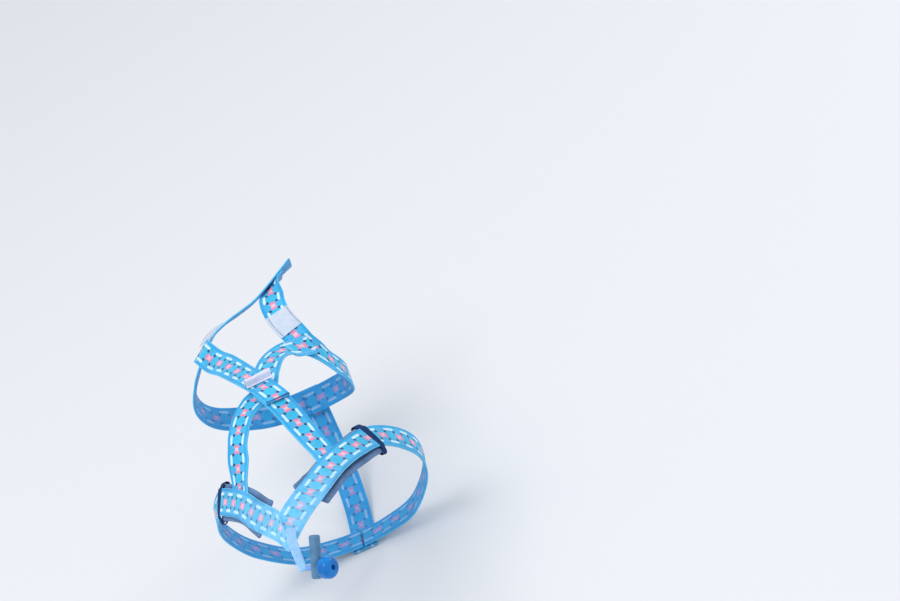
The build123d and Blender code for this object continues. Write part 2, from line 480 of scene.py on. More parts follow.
# %% Groups, materials and relief
def group(name, inputs, outputs):
    """A node group with named inputs, each with its first value, and named outputs."""
    tree = bpy.data.node_groups.new(name, "ShaderNodeTree")
    for title, value in inputs.items():
        kind = "Float" if isinstance(value, float) else "Vector" if len(value) == 3 else "Color"
        socket = tree.interface.new_socket(title, in_out="INPUT", socket_type="NodeSocket" + kind)
        socket.default_value = value
    for title, kind in outputs.items():
        tree.interface.new_socket(title, in_out="OUTPUT", socket_type="NodeSocket" + kind)
    print("group", name, "gives", " and ".join(outputs))
    return tree, tree.nodes.new("NodeGroupInput").outputs, tree.nodes.new("NodeGroupOutput").inputs


def placed(tree, made_group, *inputs):
    """Places a node group and hands back its outputs."""
    return node(tree, "Group", *inputs, node_tree=made_group).outputs


def material(name, roughness, **constants):
    """A new material. What is the same all over goes straight onto the shader's own sockets."""
    made = bpy.data.materials.new(name)
    made.use_nodes = True
    shader = made.node_tree.nodes["Principled BSDF"]
    shader.inputs["Roughness"].default_value = roughness
    for title, value in constants.items():
        shader.inputs[title.replace("_", " ")].default_value = value
    print("finish", name, "has roughness", roughness)
    return made, made.node_tree, shader.inputs


def on_cloth(tree):
    """Where a point was on the flat cloth, in millimetres."""
    return node(tree, "Attribute", attribute_name="cloth").outputs["Vector"]


def on_piece(tree):
    """Where a point is on the finished piece, in metres."""
    return node(tree, "TexCoord").outputs["Object"]


def dress(tree, shader, color, roughness, height, depth):
    """Gives a material its colour, its roughness, and a relief of this depth in millimetres."""
    relief = tree.nodes.new("ShaderNodeBump")
    relief.inputs["Distance"].default_value = depth * MM
    put(tree, relief.inputs["Height"], height)
    put(tree, shader["Base Color"], color)
    put(tree, shader["Roughness"], roughness)
    put(tree, shader["Normal"], relief.outputs[0])


# %% [markdown]
# ## Threads, wear and the woven pattern
#
# Every cloth on the harness shows threads, so the weave is one group that each cloth uses with its own
# thread widths. It reads where a point was on the flat cloth, so the threads follow the strap round every
# bend. A second group gives slow changes of shade, as sun and rubbing leave them. A third draws what is
# woven into the webbing: a row of coral motifs narrow in the middle, four navy dots round each one, and
# white dashes on both sides. It snaps its places to whole threads first, so its outlines have the little
# steps of real weaving. The webbing is paler towards the tail end: partly frost, and partly a painted sheen
# of sky light on the straps that slope back there.

# %% The weave of any cloth
weave, given, result = group(
    "weave", {"Cloth": (0.0, 0.0, 0.0), "Warp": 0.6, "Weft": 0.9}, {"Height": "Float"},
)
x, y = split(weave, given["Cloth"])[:2]
row = math(weave, "DIVIDE", y, given["Weft"])
column = math(weave, "DIVIDE", x, given["Warp"])
column = math(weave, "MULTIPLY_ADD", math(weave, "FLOOR", row), 0.5, column)
pillows = [
    math(weave, "ABSOLUTE", math(weave, "SINE", math(weave, "MULTIPLY", value, pi)))
    for value in (row, column)
]
put(weave, result["Height"], math(weave, "POWER", math(weave, "MULTIPLY", *pillows), 0.6))

# %% Slow changes of shade
weathered, given, result = group(
    "weathered",
    {"Color": (1.0, 1.0, 1.0, 1.0), "Place": (0.0, 0.0, 0.0), "Amount": 0.2},
    {"Color": "Color"},
)
slow = noise(weathered, given["Place"], 38.0, 3.0)
fine = noise(weathered, given["Place"], 420.0, 2.0)
both = blended(weathered, fine, 0.4, slow)
darker = mix(weathered, given["Amount"], given["Color"], (0.35, 0.42, 0.55, 1.0), "MULTIPLY")
lighter = mix(weathered, given["Amount"], given["Color"], (1.9, 1.8, 1.7, 1.0), "MULTIPLY")
put(weathered, result["Color"], mix(weathered, fade(weathered, both, 0.36, 0.64), darker, lighter))

# %% The woven pattern's places, in whole threads
repeat_length, thread_width, thread_length = 22.8, 0.31, 0.45
woven, given, result = group(
    "woven_motifs", {"Cloth": (0.0, 0.0, 0.0), "Repeats": 0.0}, {"Color": "Color", "Raised": "Float"},
)


def sum_of(operation, *inputs):
    return math(woven, operation, *inputs)


def less(first, second):
    return sum_of("SUBTRACT", first, second)


def more_than(first, second):
    """How much more the first is than the second, or nothing where it isn't."""
    return sum_of("MAXIMUM", less(first, second), 0.0)


def length_of(aside, ahead):
    return sum_of("SQRT", sum_of("ADD", sum_of("POWER", aside, 2.0), sum_of("POWER", ahead, 2.0)))


across = sum_of("SNAP", sum_of("ABSOLUTE", split(woven, given["Cloth"])[0]), thread_width)
near = sum_of("ABSOLUTE", less(sum_of("FRACT", sum_of("ADD", given["Repeats"], 0.5)), 0.5))
along = sum_of("SNAP", sum_of("MULTIPLY", near, repeat_length), thread_length)
print("one repeat of the pattern is", round(repeat_length / thread_length), "threads long")

# %% The woven pattern's outlines
half_motif, cap_from, cap_length, waist_depth = 3.4, 3.1, 1.8, 1.25
dot_aside, dot_along, dash_aside, dash_until = 4.6, 5.6, 7.1, 6.4

cap = sum_of("DIVIDE", more_than(along, cap_from), cap_length)
cap = sum_of("SQRT", more_than(1.0, sum_of("POWER", cap, 2.0)))
waist = fade(woven, along, 0.2, 3.0, waist_depth, 0.0)
half_width = less(sum_of("MULTIPLY", cap, half_motif), waist)
in_motif = fade(woven, less(half_width, across), 0.02, 0.5)
in_dot = fade(woven, length_of(less(across, dot_aside), less(along, dot_along)), 1.95, 1.35)
in_dash = fade(woven, length_of(less(across, dash_aside), more_than(dash_until, along)), 1.5, 1.1)
in_gap = sum_of("MULTIPLY", fade(woven, along, 4.6, 8.0), fade(woven, across, 6.6, 3.6))
print("a motif is", 2 * half_motif, "mm wide, and", 2 * (half_motif - waist_depth), "mm at its waist")

# %% The woven pattern's shades
ground_blue, border_blue, edge_blue = shade(58, 178, 226), shade(28, 163, 221), shade(86, 200, 240)
gap_teal, dot_navy, dash_white = shade(40, 186, 226), shade(14, 40, 98), shade(208, 240, 255)
coral, coral_waist = shade(248, 126, 158), shade(246, 190, 204)

color = mix(woven, fade(woven, across, 8.6, 9.6), ground_blue, border_blue)
color = mix(woven, fade(woven, across, 11.3, 12.3), color, edge_blue)
color = mix(woven, in_gap, color, gap_teal)
color = mix(woven, in_motif, color, mix(woven, fade(woven, along, 0.4, 3.2), coral_waist, coral))
color = mix(woven, in_dot, color, dot_navy)
color = mix(woven, in_dash, color, dash_white)
put(woven, result["Color"], color)
put(woven, result["Raised"], sum_of("MAXIMUM", in_motif, in_dash))
print("the woven pattern takes", len(woven.nodes), "nodes")

# %% The webbing's finish
webbing_cloth, tree, shader = material(
    "patterned_webbing", 0.62, Sheen_Weight=0.1, Sheen_Roughness=0.5, Specular_IOR_Level=0.3,
)
cloth, where = on_cloth(tree), on_piece(tree)
repeats = node(tree, "Attribute", attribute_name="repeats").outputs["Fac"]
pattern, raised = placed(tree, woven, cloth, repeats)
threads = placed(tree, weave, cloth, 0.62, 0.9)[0]
topside = fade(tree, split(tree, cloth)[2], 0.7, 1.2, 0.35, 1.0)
color = mix(tree, topside, shade(20, 130, 200), pattern)
# Painted shade: the colour darkens in the low gaps between the threads.
color = mix(tree, fade(tree, threads, 0.5, 0.05, 0.0, 0.3), color, shade(60, 110, 170), "MULTIPLY")
# Painted sheen of sky light, with some frost: the straps grow paler towards the tail, in patches.
tail_frost_and_sheen = fade(tree, split(tree, where)[1], -0.055, -0.190, 0.06, 0.62)
tail_frost_and_sheen = math(tree, "MULTIPLY", tail_frost_and_sheen, fade(tree, noise(tree, where, 90.0), 0.3, 0.6, 0.6, 1.0))
color = mix(tree, tail_frost_and_sheen, color, shade(142, 208, 246))
color = placed(tree, weathered, color, where, 0.16)[0]
roughness = fade(tree, threads, 0.0, 1.0, 0.75, 0.55)
dress(tree, shader, color, roughness, blended(tree, raised, 0.7, threads), depth=0.22)

# %% [markdown]
# ## The other finishes
#
# The other cloths differ in shade, in their threads and in how much they shine, so one helper makes them
# all from the same two groups. A table gives each its shade, its threads' two widths and their depth in
# millimetres, its wear, its roughness, and the painted shade in the gaps between its threads. The
# reflective tape is a fine grid of glass beads behind a clear film. The bead and the peg are moulded
# plastic: the bead is polished, and the peg is satin with a faint grain.

# %% Cloth finishes
def cloth_finish(name, color, warp, weft, depth, wear, roughness, painted_gap_shade, **constants):
    """A cloth of one shade with its own thread widths, and painted shade in the gaps between its threads.
    """
    made, tree, shader = material(name, roughness, **constants)
    cloth, where = on_cloth(tree), on_piece(tree)
    threads = placed(tree, weave, cloth, warp, weft)[0]
    # Painted shade: the colour darkens in the low gaps between the threads.
    tone = mix(tree, fade(tree, threads, 0.6, 0.05, 0.0, 0.5), shade(*color), shade(*painted_gap_shade), "MULTIPLY")
    tone = placed(tree, weathered, tone, where, wear)[0]
    dress(tree, shader, tone, fade(tree, threads, 0.0, 1.0, roughness + 0.1, roughness), threads, depth)
    return made


# Columns: shade, warp and weft widths and thread depth in millimetres, wear, roughness, and the painted
# shade in the gaps between the threads.
cloth_table = {
    "padding_cloth": [(100, 134, 176), 0.7, 0.7, 0.16, 0.3, 0.85, (110, 130, 160)],
    "binding_tape": [(6, 54, 106), 0.5, 0.8, 0.12, 0.2, 0.75, (90, 100, 130)],
    "label_ribbon": [(226, 230, 246), 0.3, 0.45, 0.05, 0.12, 0.55, (190, 185, 215)],
    "tail_webbing": [(160, 212, 252), 0.6, 0.8, 0.2, 0.2, 0.7, (130, 160, 220)],
    "braided_cord": [(120, 170, 235), 0.8, 0.9, 0.12, 0.15, 0.6, (80, 90, 170)],
    "blue_thread": [(34, 128, 200), 0.35, 0.5, 0.08, 0.1, 0.5, (90, 100, 130)],
    "white_thread": [(226, 240, 252), 0.35, 0.5, 0.08, 0.1, 0.5, (170, 190, 220)],
    # The navy thread's dark bar also stands for the painted shadow at the crossing.
    "navy_thread_and_shadow": [(16, 58, 130), 0.35, 0.5, 0.08, 0.1, 0.6, (90, 100, 130)],
    "grey_thread": [(104, 116, 156), 0.35, 0.5, 0.08, 0.1, 0.6, (90, 100, 130)],
}
gloss = {"binding_tape": {"Specular_IOR_Level": 0.2}, "tail_webbing": {"Sheen_Weight": 0.1}}
cloths = {name: cloth_finish(name, *row, **gloss.get(name, {})) for name, row in cloth_table.items()}

# %% Reflective tape
reflective_tape, tree, shader = material("reflective_tape", 0.5, Specular_IOR_Level=0.4)
cloth, where = on_cloth(tree), on_piece(tree)
beads = placed(tree, weave, cloth, 0.45, 0.45)[0]
tone = mix(tree, fade(tree, beads, 0.0, 1.0), shade(190, 202, 218), shade(210, 220, 236))
creases = fade(tree, noise(tree, where, 160.0, 3.0), 0.42, 0.58)
tone = mix(tree, 0.08, tone, mix(tree, creases, shade(150, 158, 182), shade(235, 232, 236)))
roughness = fade(tree, creases, 0.0, 1.0, 0.6, 0.5)
dress(tree, shader, tone, roughness, blended(tree, creases, 0.6, beads), depth=0.12)


# %% Moulded plastics
def plastic(name, color, rubbed_color, roughness, grain, depth, **constants):
    """Moulded plastic with small rubbed patches, and with a grain of this scale and depth."""
    made, tree, shader = material(name, roughness, **constants)
    where = on_piece(tree)
    rubbed = noise(tree, where, 110.0, 4.0)
    tone = mix(tree, fade(tree, rubbed, 0.35, 0.65), shade(*color), shade(*rubbed_color))
    rougher = fade(tree, rubbed, 0.35, 0.7, roughness, roughness + 0.12)
    dress(tree, shader, tone, rougher, noise(tree, where, grain), depth)
    return made


bead_plastic = plastic(
    "bead_plastic", (0, 124, 206), (0, 102, 182), 0.34, 260.0, 0.02,
    Specular_IOR_Level=0.02, Coat_Weight=1.0, Coat_Roughness=0.12, Coat_IOR=1.36,
)
peg_plastic = plastic("peg_plastic", (78, 128, 164), (64, 110, 148), 0.42, 900.0, 0.04)

# %% [markdown]
# ## Webbing straps
#
# Webbing comes off the roll as a flat band with rounded woven edges. Each strap is a grid, given thickness
# and rounded along its edges, and then laid on its route. It isn't quite flat, because real webbing twists
# and ripples a little between its seams. For each strap a short table says how many motifs have passed at
# which distance, so that the motifs fall where they do on the real harness.

# %% Where the motifs fall
motif_places = {
    "collar_right": [(5.8, 0), (112.8, 5)],
    "collar_left": [(0.0, 0.3), (228.0, 10.3)],
    "back_strap_under": [(35.3, 1), (59.1, 2), (131.5, 5), (165.5, 7)],
    "back_strap_over_front": [(36.9, 1), (107.7, 4), (146.9, 5.67), (147.1, 6.19), (189.2, 8)],
    "back_strap_over_rear": [(33.5, 1), (71.6, 3)],
    "hip_strap_right": [(1.9, 0), (161.0, 7)],
    "hip_strap_left": [(28.5, 1), (73.0, 3), (97.0, 4), (122.0, 5), (170.0, 7)],
    "breast_strap": [(0.0, 0), (228.0, 10)],
}


def repeats_at(places, distance):
    """How many motifs have passed at each distance. It carries on evenly beyond the table's ends."""
    at, count = np.array(places, float).T
    rate = np.diff(count) / np.diff(at)
    before, after = np.minimum(distance - at[0], 0), np.maximum(distance - at[-1], 0)
    return np.interp(distance, at, count) + before * rate[0] + after * rate[-1]


print("motif places on", len(motif_places), "straps")

# %% Sewing room at the tail and at the collar's tip
seam_point, seam_normal = Vector((-0.9, -183, -10)), Vector((0.984, 0.178, 0))
tail_end_before = -150
pressed_until, free_from, nearness = 10.0, 34.0, 0.05


def cut_at_tail(strap, offset, keep_right):
    """Cuts the strap's tail end along the seam where the two hip straps meet."""
    edit(strap, points_of(strap)[:, 1] < tail_end_before)
    bpy.ops.mesh.bisect(
        plane_co=(seam_point + seam_normal * offset) * MM, plane_no=seam_normal,
        use_fill=True, clear_inner=keep_right, clear_outer=not keep_right,
    )
    done()


def press_under(strap, flat, over):
    """Presses a strap's first stretch up against the underside of the strap that is sewn over it."""
    share = np.clip((free_from - flat[:, 1]) / (free_from - pressed_until), 0, 1)
    share = share * share * (3 - 2 * share)
    points = points_of(strap)
    for index in np.flatnonzero(share):
        away = points[index] - over.middle
        station = int(np.argmin((away * over.along).sum(1) ** 2 + (away**2).sum(1) * nearness))
        height = float(away[station] @ over.up[station])
        wanted = flat[index, 2] - layer
        points[index] += over.up[station] * (wanted - height) * share[index]
    move_points(strap, points)
    print(strap.name, "is pressed up at", int((share > 0).sum()), "points")


# %% Webbing straps
twist, twist_length, ripple, ripple_length = 0.28, 17, 0.14, 8.7
for order, name in enumerate(motif_places):
    run = runs[name]
    strap = flat_strip(
        name + "_webbing", webbing_width, run.length, webbing_thickness, cell=1.1, edge=0.8, segments=3,
    )
    flat = points_of(strap)
    remember(strap, "repeats", repeats_at(motif_places[name], flat[:, 1]))

    def uneven(flat):
        x, y = flat[:, 0] / webbing_width, flat[:, 1]
        across = twist * np.sin(y / twist_length + order) * x
        return across + ripple * np.sin(y / ripple_length + 2 * order) * (1 - 4 * x**2)

    lay(strap, run, uneven)
    if name == "collar_right":
        press_under(strap, flat, runs["collar_left"])
    if name.startswith("hip_strap"):
        right = name == "hip_strap_right"
        cut_at_tail(strap, -seam_lap if right else -sewn_gap, keep_right=right)
    keep(strap, "webbing", webbing_cloth, name)

# %% [markdown]
# ## Padded liners
#
# A soft liner is sewn under each hip strap. The webbing holds its middle flat, and its two margins stand
# proud as soft tubes. That is what cloth simulation is for: a slab is remeshed evenly, its middle is pinned
# where the strap is sewn down, and pressure swells the rest. Cloth behaves best at everyday sizes, so the
# slab is simulated twenty times too big and flat, and is made small again before it is laid.

# %% Swelling a liner
swell_scale, swell_limit, sewn_half_width = 20.0, 1.1, 11.8
swell_pressure, swell_steps = 4, 20


def swell(liner):
    """Swells the liner's margins by cloth simulation, and lets no point move further than the limit."""
    before = points_of(liner)
    sewn_down = np.flatnonzero(np.abs(before[:, 0]) < sewn_half_width * swell_scale)
    liner.vertex_groups.new(name="sewn_down").add([int(i) for i in sewn_down], 1.0, "ADD")
    only(liner)
    cloth = liner.modifiers.new("cloth", "CLOTH")
    cloth.settings.use_pressure = True
    cloth.settings.uniform_pressure_force = swell_pressure
    cloth.settings.vertex_group_mass = "sewn_down"
    cloth.settings.effector_weights.gravity = 0
    for step in range(swell_steps):
        bpy.context.scene.frame_set(step + 1)
    bpy.ops.object.modifier_apply(modifier=cloth.name)
    bpy.context.scene.frame_set(1)
    moved = points_of(liner) - before
    far = np.linalg.norm(moved, axis=1, keepdims=True)
    move_points(liner, before + moved * np.minimum(1, swell_limit * swell_scale / np.maximum(far, 1e-6)))
    print(liner.name, "swells", round(float(min(far.max() / swell_scale, swell_limit)), 2), "mm at most")


# %% Padded liners
narrower, longer, thinner, clear_below = 1.0, 1.0, 0.7, 0.2
liner_rounding, liner_grid = 1.5, 1.5
bare_row, margin_from, margin_slope, fading_out, margin_rise = 3.5, 11.5, 5, 12, 3.4
pad_runs = {}
for side in ("right", "left"):
    run = pad_runs[side] = Run([row[:5] + (0.0,) for row in routes["hip_strap_" + side]])
    start, end = run.distance_at(pad_start), run.distance_at(pad_end) + longer
    size = (pad_width - narrower, end - start, pad_thickness - thinner)
    middle = (0, start + size[1] / 2, size[2] / 2 + clear_below)
    liner = added(f"hip_pad_{side}_liner", bpy.ops.mesh.primitive_cube_add, size=1)
    edit(liner)
    bpy.ops.transform.resize(value=[length * MM * swell_scale for length in size])
    bpy.ops.transform.translate(value=[v * MM * swell_scale for v in middle])
    done()
    apply(liner, "BEVEL", width=liner_rounding * MM * swell_scale, segments=3)
    apply(liner, "REMESH", mode="VOXEL", voxel_size=liner_grid * MM * swell_scale)
    swell(liner)
    liner.vertex_groups.clear()
    move_points(liner, points_of(liner) / swell_scale)
    apply(liner, "SUBSURF", levels=1, render_levels=1)
    bare_until = run.distance_at(bare_row)

    def turned_up(flat):
        """The right liner's inner margin stands up beside the strap, from its end to the back strap."""
        beside = np.clip((-flat[:, 0] - margin_from) / margin_slope, 0, 1)
        beside = beside * np.clip((bare_until - flat[:, 1]) / fading_out, 0, 1)
        return margin_rise * beside * (side == "right")

    lay(liner, run, turned_up)
    keep(liner, "padding", cloths["padding_cloth"], "hip_pad_" + side)

# %% [markdown]
# ## Bindings round the ends of the liners
#
# Where a liner ends, a dark tape goes once round strap and liner and is sewn to itself underneath. The tape
# is made flat and wound round the outline of the two, which steps down from the strap to the liner on each
# side. It could be a box with a hole, but then the tape would have no thickness of its own to see.

# %% The way round strap and liner
half_outline = [
    (0, 7.3), (12.3, 7.1), (13.4, 6.2), (14.6, 5.2), (17.2, 4.4), (18.6, 3.3), (18.9, 1.6), (18.0, 0.2),
    (16.0, -0.4), (0, -0.5),
]
outline = np.array(half_outline + [(-x, z) for x, z in half_outline[-2:0:-1]], float)
for _ in range(2):
    following = np.roll(outline, -1, axis=0)
    corners_cut = [outline * 0.75 + following * 0.25, outline * 0.25 + following * 0.75]
    outline = np.stack(corners_cut, 1).reshape(-1, 2)
outline = np.roll(outline, len(outline) // 2, axis=0)
closed = np.vstack([outline, outline[:1]])
round_it = distances(closed)
print("the tape goes", round(float(round_it[-1]), 1), "mm round")

# %% Bindings
tape_thickness, tape_widths, tape_row = 0.6, {"right": 7.5, "left": 8.5}, 5.75


def bent(flat, line, reach):
    """Bends a flat tape along a line: where its points are, ahead and up."""
    here = line(flat[:, 1])
    way = unit(line(flat[:, 1] + reach) - line(flat[:, 1] - reach))
    return here + np.stack([-way[:, 1], way[:, 0]], 1) * flat[:, 2:]


def round_outline(distance):
    return read_off(distance % round_it[-1], round_it, closed)


for side, run in pad_runs.items():
    middle = (run.distance_at(tape_row) + run.distance_at(pad_end)) / 2
    tape = flat_strip(
        f"pad_binding_{side}_tape", tape_widths[side], round_it[-1], tape_thickness, cell=0.9, edge=0.3,
    )
    flat = points_of(tape)
    remember(tape, "cloth", flat)
    place = bent(flat, round_outline, 0.4)
    move_points(tape, run.laid(np.stack([place[:, 0], middle - flat[:, 0], place[:, 1]], 1)))
    keep(tape, "binding", cloths["binding_tape"], "pad_binding_" + side)

# %% [markdown]
# ## Reflective patches
#
# The patches are stiff tape, sewn on the collar. They are thin strips with a soft edge, laid on the
# collar's own run, one layer up. The right one covers both edges of the strap. The left one's front edge
# has come up from the strap, and its loose front corner reaches further down the collar.

# %% How the patches lie
patch_widths = {"right": 25.4, "left": 23.0}
patch_rows = {"right": (4.3, 5.85), "left": (4.2, 5.35)}
loose_height, loose_rise, loose_corner, patch_ripple = 1.2, 0.2, 6.0, 0.1


def towards_front(side, flat):
    """From 0 at a patch's rear edge to 1 at its front edge."""
    return np.clip(flat[:, 0] / patch_widths[side] + 0.5, 0, 1)


def off_the_strap(side, run):
    """How far a patch and its stitches stand off the collar."""
    start = run.distance_at(patch_rows[side][0])

    def lift(flat):
        come_up = loose_height + loose_rise * np.clip(flat[:, 1] - start, 0, None)
        raised = come_up * towards_front(side, flat) if side == "left" else 0
        return raised + patch_ripple * np.sin(flat[:, 1] / 3.1) * np.sin(flat[:, 0] / 4.3)

    return lift


# %% Reflective patches
for side, rows in patch_rows.items():
    run = runs["collar_" + side]
    first, last = (run.distance_at(row) for row in rows)
    name, width = f"reflective_patch_{side}_tape", patch_widths[side]
    patch = flat_strip(name, width, last - first, 0.8, cell=0.9, edge=0.3, start=first)
    loose = off_the_strap(side, run)
    if side == "left":
        flat = points_of(patch)
        flat[:, 1] += loose_corner * towards_front(side, flat) ** 2 * (flat[:, 1] - first) / (last - first)
        move_points(patch, flat)
    lay(patch, run, lambda flat: layer + loose(flat))
    keep(patch, "reflective", reflective_tape, "reflective_patch_" + side)

# %% [markdown]
# ## The label tab
#
# A blank woven label is folded in two and caught in the sewing across the back strap, so it stands up as a
# short flap. A ribbon is made flat and bent round the fold: down one side, over the top and down the other,
# with its two feet turned out on the strap.

# %% The label tab
tab_width, tab_offset, ribbon_thickness, tab_row = 26.0, 1.5, 0.7, 4.72
tab_wave, tab_height = 0.35, 6
tab_run = runs["back_strap_over_front"]
fold = np.array([
    (-2.6, 0.2), (-1.2, 0.3), (-0.5, 1.2), (-0.4, 4.0), (-0.3, 6.6), (0.1, 7.6),
    (0.9, 8.0), (1.7, 7.6), (2.1, 6.6), (2.0, 4.0), (1.9, 1.2), (2.6, 0.3), (4.0, 0.2),
])
fold_at = distances(fold)


def on_fold(distance):
    return read_off(distance, fold_at, fold)


label = flat_strip("label_tab_ribbon", tab_width, fold_at[-1], ribbon_thickness, cell=0.55, edge=0.2)
flat = points_of(label)
remember(label, "cloth", flat)
place = bent(flat, on_fold, 0.5)
wave = tab_wave * np.sin(flat[:, 0] / 5.0) * place[:, 1] / tab_height
ahead = tab_run.distance_at(tab_row) + place[:, 0] + wave
move_points(label, tab_run.laid(np.stack([flat[:, 0] - tab_offset, ahead, layer + place[:, 1]], 1)))
keep(label, "label", cloths["label_ribbon"], "label_tab")

# %% [markdown]
# ## The tail strip and the cord
#
# The strip over the point of the V is soft tubular webbing, so it is a thick strip with fully rounded
# sides. The cord that comes out of it is braided: a fine tube whose skin is raised where two sets of
# strands cross. Its melted end stops inside the bead's bore.

# %% The tail strip
strip_width, strip_thickness, strip_taper, strip_crown, strip_ripple = 8.5, 4.0, 0.24, 0.7, 0.15
tail_run = runs["tail_strip"]
strip = flat_strip(
    "tail_strip_webbing", strip_width, tail_run.length, strip_thickness, cell=0.7, edge=1.7, segments=5,
)
flat = points_of(strip)
flat[:, 0] *= 1 - strip_taper * np.clip(flat[:, 1] / tail_run.length, 0, 1) ** 1.5
move_points(strip, flat)


def crowned(flat):
    crown = (flat[:, 2] > strip_thickness / 2) * strip_crown * (1 - (flat[:, 0] / (strip_width / 2)) ** 2)
    return crown + strip_ripple * np.sin(flat[:, 1] / 2.6)


lay(strip, tail_run, crowned)
keep(strip, "tail_webbing", cloths["tail_webbing"], "tail_strip")

# %% The cord's line
cord_start = Vector((5.5, -233, -21.6))
cord_way = Vector((0.81, -0.585, 0.09)).normalized()
cord_radius, cord_length, cord_end_in, peg_along, bead_along = 2.0, 34.5, 6.0, 14.3, 26.3
cord_turn = np.array(cord_way.to_track_quat("Z", "Y").to_matrix())


def on_cord(piece, distance):
    """Moves a piece that was made upright at the origin to its place along the cord."""
    move_points(piece, points_of(piece) @ cord_turn.T + np.array(cord_start + cord_way * distance))


print("the bead's middle is at", [round(v, 1) for v in cord_start + cord_way * bead_along])

# %% The cord
strands, strand_slope, between_strands, strand_rise, end_rounding = 4, 1.6, 0.16, 0.28, 0.8
cells = {"x_subdivisions": 48, "y_subdivisions": 80}
cord = added("toggle_cord_braid", bpy.ops.mesh.primitive_grid_add, size=1, **cells)
flat = points_of(cord) * MM + 0.5
angle, up = flat[:, 0] * 2 * pi, flat[:, 1] * cord_length
one_way, other_way = (np.sin(strands * angle + slope * up) for slope in (strand_slope, -strand_slope))
radius = cord_radius - between_strands + strand_rise * np.sqrt(np.abs(one_way) * np.abs(other_way))
past_end = up - cord_length
radius = np.where(past_end > -end_rounding, radius - 0.5 * (past_end + end_rounding), radius)
radius = np.where(past_end > -0.01, 0.0, radius)
up = up * (cord_length - cord_end_in) / cord_length
remember(cord, "cloth", np.stack([angle * cord_radius, up, np.zeros(len(up))], 1))
move_points(cord, np.stack([radius * np.cos(angle), radius * np.sin(angle), up], 1))
edit(cord)
bpy.ops.mesh.remove_doubles(threshold=0.01 * MM)
bpy.ops.mesh.normals_make_consistent(inside=False)
done()
on_cord(cord, 0.0)
keep(cord, "tail_webbing", cloths["braided_cord"], "toggle_cord")

# %% [markdown]
# ## The bead and the peg
#
# Both are turned shapes. A profile is drawn as a ring of points beside the axis and spun round it, as on a
# lathe. The bead gets its bore, its rounded shoulders and a fine parting line that way. The peg is spun the
# same way, and the hole across it is cut with a rod by a Boolean modifier.

# %% Turned pieces
def turned(name, profile, steps):
    """Spins a closed profile of (radius, height) points, in millimetres, round the upright axis."""
    ring = bpy.ops.mesh.primitive_circle_add
    piece = added(name, ring, vertices=len(profile), radius=1, fill_type="NOTHING")
    move_points(piece, np.array([(radius, 0, height) for radius, height in profile], float))
    edit(piece)
    bpy.ops.mesh.spin(steps=steps, angle=2 * pi, center=(0, 0, 0), axis=(0, 0, 1))
    bpy.ops.mesh.select_all(action="SELECT")
    bpy.ops.mesh.remove_doubles(threshold=0.005 * MM)
    bpy.ops.mesh.normals_make_consistent(inside=False)
    done()
    return piece


def arc(radius, height, size, first, last, count):
    """Points on an arc in a profile, its angles in degrees."""
    turns = np.radians(np.linspace(first, last, count))
    return [(radius + size * cos(turn), height + size * sin(turn)) for turn in turns]


# %% The bead
bead_radius, half_bead, shoulder, bore, mouth = 9.5, 6.6, 5.0, 2.15, 0.8
parting_depth, parting_outer, parting_inner = 0.1, 0.35, 0.12
upper_half = (
    arc(bore + mouth, half_bead - mouth, mouth, 180, 100, 5)
    + arc(bead_radius - shoulder, half_bead - shoulder, shoulder, 88, 4, 12)
    + [(bead_radius, parting_outer), (bead_radius - parting_depth, parting_inner)]
)
lower_half = [(radius, -height) for radius, height in reversed(upper_half)]
bead = turned("toggle_bead_moulded", upper_half + lower_half, steps=72)
on_cord(bead, bead_along)
keep(bead, "bead", bead_plastic, "toggle_bead")

# %% The peg
peg_radius, peg_length, hole_from_end, hole_radius = 4.7, 36.0, 9.0, 2.3
foot_round, head_round = 1.5, 1.9
peg_profile = (
    [(0.0, 0.0), (peg_radius - 1.8, 0.0)]
    + arc(peg_radius - foot_round, foot_round, foot_round, -80, 0, 7)
    + [(peg_radius, height) for height in range(4, 33, 2)]
    + arc(peg_radius - head_round, peg_length - head_round, head_round, 0, 84, 9) + [(0.0, peg_length)]
)
peg = turned("toggle_peg_moulded", peg_profile, steps=64)
peg_up_hint = Vector((0.39, 0.53, 0.75))
peg_up = (peg_up_hint - cord_way * peg_up_hint.dot(cord_way)).normalized()
points = points_of(peg)
points[:, 2] -= hole_from_end
peg_turn = Matrix((cord_way, peg_up.cross(cord_way), peg_up)).transposed()
move_points(peg, points @ np.array(peg_turn).T + np.array(cord_start + cord_way * peg_along))

# %% The hole across the peg
rod_size = {"radius": hole_radius * MM, "depth": 20 * MM}
rod = added("rod", bpy.ops.mesh.primitive_cylinder_add, vertices=48, **rod_size)
on_cord(rod, peg_along)
apply(peg, "BOOLEAN", object=rod, operation="DIFFERENCE", solver="EXACT")
bpy.data.objects.remove(rod, do_unlink=True)
keep(peg, "peg", peg_plastic, "toggle_peg", body="toggle")

# %% [markdown]
# ## Stitches
#
# Sewing is what turns straps into a harness. One stitch is a small rounded grain, half sunk in the cloth.
# It is modelled once, repeated by an Array modifier into a row, and the row is laid on the strap it sews.
# The real harness has a row along each edge of the liners and the patches, a crossed box at every junction,
# and a dense navy bar tack where the upper back strap's front layer ends. The bar is dark enough that it
# also stands for the painted shadow under that layer's end.

